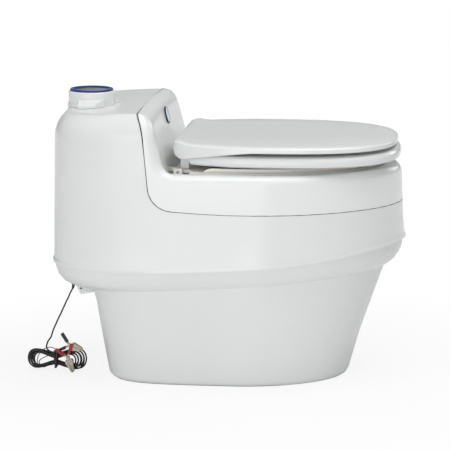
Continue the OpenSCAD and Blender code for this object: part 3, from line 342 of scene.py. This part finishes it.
def recast(name, node, body, material, crease, bevel):
    mesh = nodes[node].data.copy()
    mesh.name = name
    work = bmesh.new()
    work.from_mesh(mesh)
    bmesh.ops.remove_doubles(work, verts=work.verts, dist=smoothing["weld"] * mm)
    bmesh.ops.dissolve_limit(work, angle_limit=math.radians(smoothing["flatAngle"]),
                             verts=work.verts, edges=work.edges,
                             use_dissolve_boundaries=False)
    for face in work.faces:
        face.smooth = True
    for edge in work.edges:
        edge.smooth = edge.calc_face_angle(0) < math.radians(crease)
    work.to_mesh(mesh)
    work.free()
    mesh.materials.clear()
    mesh.materials.append(material)
    piece = newObject(name, mesh)
    if bevel:
        soften = piece.modifiers.new("soft edges", "BEVEL")
        soften.width = bevel * mm
        soften.segments = smoothing["edgeSteps"]
        soften.limit_method = "ANGLE"
        soften.angle_limit = math.radians(crease)
        soften.use_clamp_overlap = True
        soften.harden_normals = False
        soften.miter_outer = "MITER_ARC"
    level = piece.modifiers.new("even normals", "WEIGHTED_NORMAL")
    level.keep_sharp = True
    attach(piece, body)
    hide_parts(node)
    return piece


bodyOf = {n: b for b, ns in frame["record"]["behaviour"]["bodies"].items() for n in ns}

# which look each CAD part takes, with its crease angle and edge softening in mm
skins = {
    "lower_tub": ("tub_shell", "whiteCase", 34, 0),
    "upper_case": ("case_shell", "whiteCase", 34, 0),
    # the top shell takes the white painted lighter, as painted light
    "top_section": ("top_shell", "whiteTopPaintedLight", 34, 0),
    "rear_duct": ("duct_box", "whiteCase", 30, 0.8),
    "seat_ring": ("seat_shell", "whiteSeat", 34, 0),
    "seat_lid": ("lid_shell", "whiteSeat", 34, 0),
    "vent_base": ("vent_flange", "whiteCase", 30, 0.5),
    "vent_socket": ("vent_tube", "whiteCase", 30, 0.5),
    "fan_shelf": ("fan_floor", "whiteInner", 30, 0.4),
    "fan_frame": ("fan_box", "blackPlastic", 30, 0.4),
    "fan_impeller": ("fan_blades", "blackPlastic", 30, 0.2),
    "turntable": ("ratchet_table", "greyNylon", 30, 0.3),
    "container": ("waste_bucket", "whiteInner", 30, 0),
    "bowl_liner": ("bowl_shell", "whiteInner", 34, 0),
    "urine_funnel": ("funnel_shell", "whiteInner", 34, 0),
    "drain_hose": ("drain_tube", "blackPlastic", 40, 0),
    "drain_spigot": ("drain_stub", "greyNylon", 30, 0.4),
    "view_guard": ("guard_flap", "whiteInner", 30, 0.4),
    "guard_rails": ("guard_tracks", "greyNylon", 30, 0.3),
    "press_frame": ("seat_frame", "whiteFrame", 30, 0.5),
    "pivot_brackets": ("frame_brackets", "whiteFrame", 30, 0.4),
    "hinge_posts": ("hinge_blocks", "whiteSeat", 30, 0.6),
    "seat_lugs": ("seat_ears", "whiteSeat", 30, 0.4),
    "lid_lugs": ("lid_ears", "whiteSeat", 30, 0.4),
    "seat_bumpers": ("seat_pads", "bumper", 30, 1.0),
    "lid_bumpers": ("lid_pads", "bumper", 30, 0.8),
    "badge_rim": ("badge_ring", "navyTrim", 30, 0.3),
    "badge_disc": ("badge_face", "paleEnamel", 30, 0.2),
    "cord_gland": ("lead_gland", "blackPlastic", 30, 0.3),
    "hank_tie": ("hank_band", "blackVinyl", 30, 0.4),
    "black_clip": ("black_clip_lower", "nickel", 30, 0.25),
    "black_jaw": ("black_clip_upper", "nickel", 30, 0.25),
    "black_clip_sleeve": ("black_grip_lower", "blackVinyl", 30, 0.9),
    "black_jaw_sleeve": ("black_grip_upper", "blackVinyl", 30, 0.9),
    "red_clip": ("red_clip_lower", "nickel", 30, 0.25),
    "red_jaw": ("red_clip_upper", "nickel", 30, 0.25),
    "red_clip_sleeve": ("red_grip_lower", "redVinyl", 30, 0.9),
    "red_jaw_sleeve": ("red_grip_upper", "redVinyl", 30, 0.9),
}
for node, (name, look, crease, bevel) in skins.items():
    recast(name, node, bodyOf[node], materials[look], crease, bevel)


# outline of the case, as the part's source has it (mm, leans as slopes)
case = {"rear": 334.4, "rearLean": 0.028, "front": 333.1, "frontFoot": 271,
        "half": 228, "edgeIn": 2, "foot": 242, "lowLean": 0.07, "highLean": 0.045, "mid": 50,
        "noseRound": 1.85, "backSquare": 4, "squareOver": 280,
        "seam": 342.5, "seamLip": 4.8, "lipStart": 20, "lipOver": 108, "lipPower": 1.6,
        "seamBack": 134, "seamRadius": 46, "seamLean": 0.1, "beadBack": 0.25,
        "bowFrom": 478, "bow": 0.0042,
        "shoulder": 473, "shoulderRadius": 62, "shoulderDrop": 27, "rise": 2.5}
shoulderEnd = math.acos(1 - case["shoulderDrop"] / case["shoulderRadius"])


def polar(a, n):
    return (abs(math.cos(a)) ** n + abs(math.sin(a)) ** n) ** (-1 / n)


def caseBack(z):
    return case["rear"] - case["rearLean"] * (z - case["foot"])


def caseHalf(z):
    low = case["lowLean"] * (z - case["foot"])
    high = (case["lowLean"] * (case["seam"] - case["foot"])
            + case["highLean"] * (z - case["seam"]))
    return case["half"] - case["edgeIn"] - (low if z < case["seam"] else high)


def squareness(z):
    return case["backSquare"] + clamp((z - case["foot"]) / case["squareOver"])


def casePoint(a, z, inset):
    c, ahead = math.cos(a), math.cos(a) >= 0
    r = polar(a, case["noseRound"] if ahead else squareness(z))
    front = case["front"] - case["highLean"] * (z - case["frontFoot"]) - inset
    length = front - case["mid"] if ahead else case["mid"] + caseBack(z) - inset
    return case["mid"] + length * r * c, (caseHalf(z) - inset) * r * math.sin(a)


def wallY(x, z, inset=0):
    n = squareness(z)
    part = abs(case["mid"] - x) / (case["mid"] + caseBack(z) - inset)
    return (caseHalf(z) - inset) * max(0, 1 - part ** n) ** (1 / n)


def seamX(z):
    return (-case["seamBack"] - case["seamLean"] * (z - case["seam"] - case["seamRadius"])
            - case["bow"] * max(0, z - case["bowFrom"]) ** 2 - case["beadBack"])


def seamHalf(inset):
    # nose, along the side, round the corner, up the wall and over the housing
    radius, foot = case["seamRadius"], case["seam"] + case["seamLip"]
    turnX, turnZ = seamX(foot + radius) + radius, foot + radius
    n = squareness(case["seam"])
    ahead = (case["mid"] - turnX) / (case["mid"] + caseBack(case["seam"]) - inset)
    last = math.pi - math.atan((ahead ** -n - 1) ** (1 / n))
    points, tuck = [], 0.5  # the painted shadow line sits a little under the lip
    for k in range(25):
        x, y = casePoint(last * k / 24, case["seam"], inset)
        lift = clamp((case["lipStart"] - x) / case["lipOver"]) ** case["lipPower"]
        points.append((x, y, case["seam"] + case["seamLip"] * lift - tuck))
    for k in range(1, 10):
        a = math.radians(10 * k)
        x, z = turnX - radius * math.sin(a), turnZ - radius * math.cos(a)
        points.append((x, wallY(x, z) - inset, z - tuck * (1 - k / 9)))
    for k in range(1, 7):
        z = turnZ + (case["shoulder"] - turnZ) * k / 6
        points.append((seamX(z), wallY(seamX(z), z) - inset, z))
    side = wallY(seamX(case["shoulder"]), case["shoulder"])
    bend = case["shoulderRadius"] - inset
    for k in range(1, 9):
        a = shoulderEnd * k / 8
        z = case["shoulder"] + bend * math.sin(a)
        points.append((seamX(z), side - inset - bend * (1 - math.cos(a)), z))
    y0 = points[-1][1]
    crest = case["shoulder"] + case["shoulderRadius"] * math.sin(shoulderEnd) - inset
    for k in range(1, 9):
        z = crest + case["rise"] * (1 - (1 - k / 8) ** 2)
        points.append((seamX(z), y0 * (1 - k / 8), z))
    return [Vector(p) for p in points]


# dark strip in the joint, painted shadow of the gap; it is thicker over the housing
shadowLine = {"inset": 0.55, "diameter": 1.5, "swell": 0.7, "swellFrom": 440, "swellOver": 40}
seamSide = seamHalf(shadowLine["inset"])
seamLoop = seamSide + [Vector((p.x, -p.y, p.z)) for p in seamSide[-2:0:-1]]
seam = cordPiece("seam_shadow_line", seamLoop, shadowLine["diameter"], materials["seamShadow"], 3)
seam.data.splines[0].use_cyclic_u = True
for point in seam.data.splines[0].points:
    high = clamp((point.co.z / mm - shadowLine["swellFrom"]) / shadowLine["swellOver"])
    point.radius = 1 + shadowLine["swell"] * high
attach(seam, "top")

# raised edge of the sprung frame: the pale band seen between the deck and the seat
frameEdge = {"low": 415.1, "high": 423.6, "inset": 34.4, "thick": 3.2, "outlineAt": 409,
             "from": -34, "to": 246, "endShare": 0.35, "endPoints": 5}
profile = [(0, 0), (0, 0.86), (0.3, 1), (0.7, 1), (1, 0.86), (1, 0)]  # across, up
edgeMesh = bpy.data.meshes.new("frame_edge")
verts, faces = [], []
for side in (-1, 1):
    path = [casePoint(math.radians(a * 0.5), frameEdge["outlineAt"], frameEdge["inset"])
            for a in range(40, 340)]
    path = [p for p in path if p[1] > 0 and frameEdge["from"] <= p[0] <= frameEdge["to"]]
    base, rows = len(verts), len(profile)
    for i, p in enumerate(path):
        a, b = path[max(0, i - 1)], path[min(len(path) - 1, i + 1)]
        along = Vector((b[0] - a[0], b[1] - a[1])).normalized()
        inward = Vector((-along.y, along.x))
        end = clamp(min(i, len(path) - 1 - i) / frameEdge["endPoints"])
        grow = frameEdge["endShare"] + (1 - frameEdge["endShare"]) * end * (2 - end)
        tall = (frameEdge["high"] - frameEdge["low"]) * grow
        for across, up in profile:
            q = Vector(p) + inward * frameEdge["thick"] * across
            verts.append((q.x * mm, side * q.y * mm, (frameEdge["low"] + tall * up) * mm))
    for i in range(len(path) - 1):
        for k in range(rows):
            ring = [base + i * rows + k, base + i * rows + (k + 1) % rows,
                    base + (i + 1) * rows + (k + 1) % rows, base + (i + 1) * rows + k]
            faces.append(ring if side > 0 else ring[::-1])
    first, final = list(range(base, base + rows)), list(range(len(verts) - rows, len(verts)))
    faces += [first[::-1], final] if side > 0 else [first, final[::-1]]
edgeMesh.from_pydata(verts, [], faces)
edgeMesh.polygons.foreach_set("use_smooth", [len(p.vertices) == 4 for p in edgeMesh.polygons])
edgeMesh.materials.append(materials["whiteFrame"])
frameLip = newObject("frame_edge", edgeMesh)
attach(frameLip, "press")

# rubber ring on the vent outlet: a rolled outer lip and a softer one that grips the pipe
vent = {"x": -264, "y": -45, "top": 553, "bore": 37.75, "steps": 96,
        "profile": [(0, -3.4), (3.2, -3.4), (3.5, -2.4), (3.3, -1), (2.4, -0.1), (1.2, 0.0),
                    (-0.6, -0.3), (-3.4, -1.1), (-5.2, -1.9), (-5.6, -2.4), (-5.2, -2.8),
                    (-3, -2.6), (-0.6, -2.6)]}  # out from the bore, up from the top
verts, faces = [], []
steps, rows = vent["steps"], len(vent["profile"])
for i in range(steps):
    a = 2 * math.pi * i / steps
    following = (i + 1) % steps
    for k, (out, up) in enumerate(vent["profile"]):
        verts.append(((vent["x"] + (vent["bore"] + out) * math.cos(a)) * mm,
                      (vent["y"] + (vent["bore"] + out) * math.sin(a)) * mm,
                      (vent["top"] + up) * mm))
        above = (k + 1) % rows
        faces.append((i * rows + k, following * rows + k,
                      following * rows + above, i * rows + above))
ringMesh = bpy.data.meshes.new("vent_ring")
ringMesh.from_pydata(verts, [], faces)
ringMesh.polygons.foreach_set("use_smooth", [True] * len(ringMesh.polygons))
ringMesh.materials.append(materials["blueSeal"])
ventRing = newObject("vent_ring", ringMesh)
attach(ventRing, bodyOf["vent_seal"])
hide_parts("vent_seal")

# coil springs between the deck's ledge and the frame, a pair at the rear and a pair at the
# front
springs = {"rear": {"at": (60, 168), "keep": 0.72}, "front": {"at": (230, 105), "keep": 0.42}}
coiled = {"turns": 4, "turnSteps": 20, "radius": 5.2, "wire": 1.3, "low": 401.5,
          "rise": 6.6, "flatEnd": 0.16, "anchor": 400.7}  # the end turns lie flat
for name, spring in springs.items():
    curve = bpy.data.curves.new(name + "_springs", "CURVE")
    curve.dimensions = "3D"
    steps = coiled["turns"] * coiled["turnSteps"]
    for side in (-1, 1):
        line = curve.splines.new("POLY")
        line.points.add(steps)
        for k, point in enumerate(line.points):
            a = 2 * math.pi * k / coiled["turnSteps"]
            rise = clamp((k / steps - coiled["flatEnd"]) / (1 - 2 * coiled["flatEnd"]))
            point.co = ((spring["at"][0] + coiled["radius"] * math.cos(a)) * mm,
                        (side * spring["at"][1] + coiled["radius"] * math.sin(a)) * mm,
                        (coiled["low"] + coiled["rise"] * rise) * mm, 1)
    curve.bevel_depth = coiled["wire"] / 2 * mm
    curve.bevel_resolution = 3
    curve.use_fill_caps = True
    curve.materials.append(materials["steel"])
    wire = newObject(name + "_wire", curve)
    coil = newObject(name + "_springs", bpy.data.meshes.new_from_object(wire))
    bpy.data.objects.remove(wire)
    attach(coil, bodyOf["press_springs"])
    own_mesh(coil)
    if name == "rear":
        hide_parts("press_springs")
# the seam line among these is painted shadow of the joint
print("seam bead, frame edge, vent ring and springs made")

# the rest stays as it came, with a finish of its own
plain = {"fan_screws": "steel", "turntable_axle": "steel", "container_handle": "steel",
         "pawl_post": "greyNylon", "pawl_arm": "steel", "press_rod": "steel",
         "guard_tie_rod": "steel", "frame_pins": "steel", "hinge_pins": "steel"}
for node, look in plain.items():
    nodes[node].data.materials.clear()
    nodes[node].data.materials.append(materials[look])


# stage: pale floor, white surroundings and soft lamps, in metres
ground = {"half": 12.0, "under": 0.0004,
          "fadeFrom": 0.35, "fadeTo": 0.9, "nearWhite": 0.86,  # as the camera sees it
          "mirrorFrom": 0.8, "mirrorTo": 2.5, "mirrorWhite": 0.85}  # as gloss mirrors it
half = ground["half"]
floorMesh = bpy.data.meshes.new("floor_sheet")
floorMesh.from_pydata([(-half, -half, 0), (half, -half, 0), (half, half, 0), (-half, half, 0)],
                      [], [(0, 1, 2, 3)])
floor = newObject("floor_sheet", floorMesh)
floor.location.z = -ground["under"]
# near the toilet the sheet takes its shadow; farther out it turns plain white
sheet = materials["paleFloor"].node_tree
place = addNode(sheet, "ShaderNodeTexCoord")
away = addNode(sheet, "ShaderNodeVectorMath", {0: place.outputs["Object"]}, operation="LENGTH")
fade = addNode(sheet, "ShaderNodeMapRange",
               {"Value": away.outputs["Value"], "From Min": ground["fadeFrom"],
                "From Max": ground["fadeTo"], "To Min": ground["nearWhite"], "To Max": 1},
               interpolation_type="SMOOTHSTEP")
far = addNode(sheet, "ShaderNodeMapRange",
              {"Value": away.outputs["Value"], "From Min": ground["mirrorFrom"],
               "From Max": ground["mirrorTo"], "To Min": 0, "To Max": ground["mirrorWhite"]},
              interpolation_type="SMOOTHSTEP")
eye = addNode(sheet, "ShaderNodeLightPath")
mirrored = addNode(sheet, "ShaderNodeMath", {0: far.outputs["Result"],
                                             1: eye.outputs["Is Glossy Ray"]},
                   operation="MULTIPLY")
share = addNode(sheet, "ShaderNodeMath",
                {0: fade.outputs["Result"], 1: eye.outputs["Is Camera Ray"],
                 2: mirrored.outputs["Value"]}, operation="MULTIPLY_ADD")
glow = addNode(sheet, "ShaderNodeEmission", {"Color": (1, 1, 1, 1), "Strength": 1})
both = addNode(sheet, "ShaderNodeMixShader", {"Fac": share.outputs["Value"]})
sheet.links.new(sheet.nodes["Principled BSDF"].outputs[0], both.inputs[1])
sheet.links.new(glow.outputs[0], both.inputs[2])
sheet.links.new(both.outputs[0], sheet.nodes["Material Output"].inputs["Surface"])
floorMesh.materials.append(materials["paleFloor"])

# the room is brightest on the camera's side and falls off behind and past the ends
room = {"toward": (-0.3, -0.8, 0.52), "from": -0.5, "to": 0.9, "dim": 0.08, "bright": 0.62,
        "colour": (0.98, 1, 0.99, 1)}
world = bpy.data.worlds.new("studio")
scene.world = world
world.use_nodes = True
tree = world.node_tree
tree.nodes.clear()
seen = addNode(tree, "ShaderNodeBackground", {"Color": (1, 1, 1, 1), "Strength": 1})
outward = addNode(tree, "ShaderNodeTexCoord")
aimed = addNode(tree, "ShaderNodeVectorMath",
                {0: outward.outputs["Generated"], 1: room["toward"]}, operation="DOT_PRODUCT")
level = addNode(tree, "ShaderNodeMapRange",
                {"Value": aimed.outputs["Value"], "From Min": room["from"],
                 "From Max": room["to"], "To Min": room["dim"], "To Max": room["bright"]})
air = addNode(tree, "ShaderNodeBackground",
              {"Color": room["colour"], "Strength": level.outputs["Result"]})
ray = addNode(tree, "ShaderNodeLightPath")
blend = addNode(tree, "ShaderNodeMixShader", {"Fac": ray.outputs["Is Camera Ray"]})
tree.links.new(air.outputs[0], blend.inputs[1])
tree.links.new(seen.outputs[0], blend.inputs[2])
out = addNode(tree, "ShaderNodeOutputWorld")
tree.links.new(blend.outputs[0], out.inputs["Surface"])

# soft lamps: place, the point it looks at, size and watts
lamps = {
    "front box": {"at": (-0.6, -3.5, 0.9), "toward": (0, 0, 0.25), "size": (2.6, 1.8),
                  "watts": 29},
    "top box": {"at": (0.7, -0.2, 3.0), "toward": (0, 0, 0.2), "size": (2.6, 2.2),
                "watts": 45},
    "back wall": {"at": (-0.8, 5.0, 1.35), "toward": (0, 0, 0.4), "size": (4.6, 1.9),
                  "watts": 8.5},
    "end box": {"at": (2.0, 2.6, 1.6), "toward": (-0.1, 0, 0.45), "size": (1.2, 1.2),
                "watts": 11},
}
for name, spec in lamps.items():
    lamp = bpy.data.lights.new(name, "AREA")
    lamp.shape = "RECTANGLE"
    lamp.size, lamp.size_y = spec["size"]
    lamp.energy = spec["watts"]
    holder = newObject(name, lamp)
    holder.location = spec["at"]
    holder.rotation_mode = "QUATERNION"
    toward = Vector(spec["toward"]) - Vector(spec["at"])
    holder.rotation_quaternion = toward.to_track_quat("-Z", "Y")
scene.view_settings.view_transform = "Standard"
print("stage set")
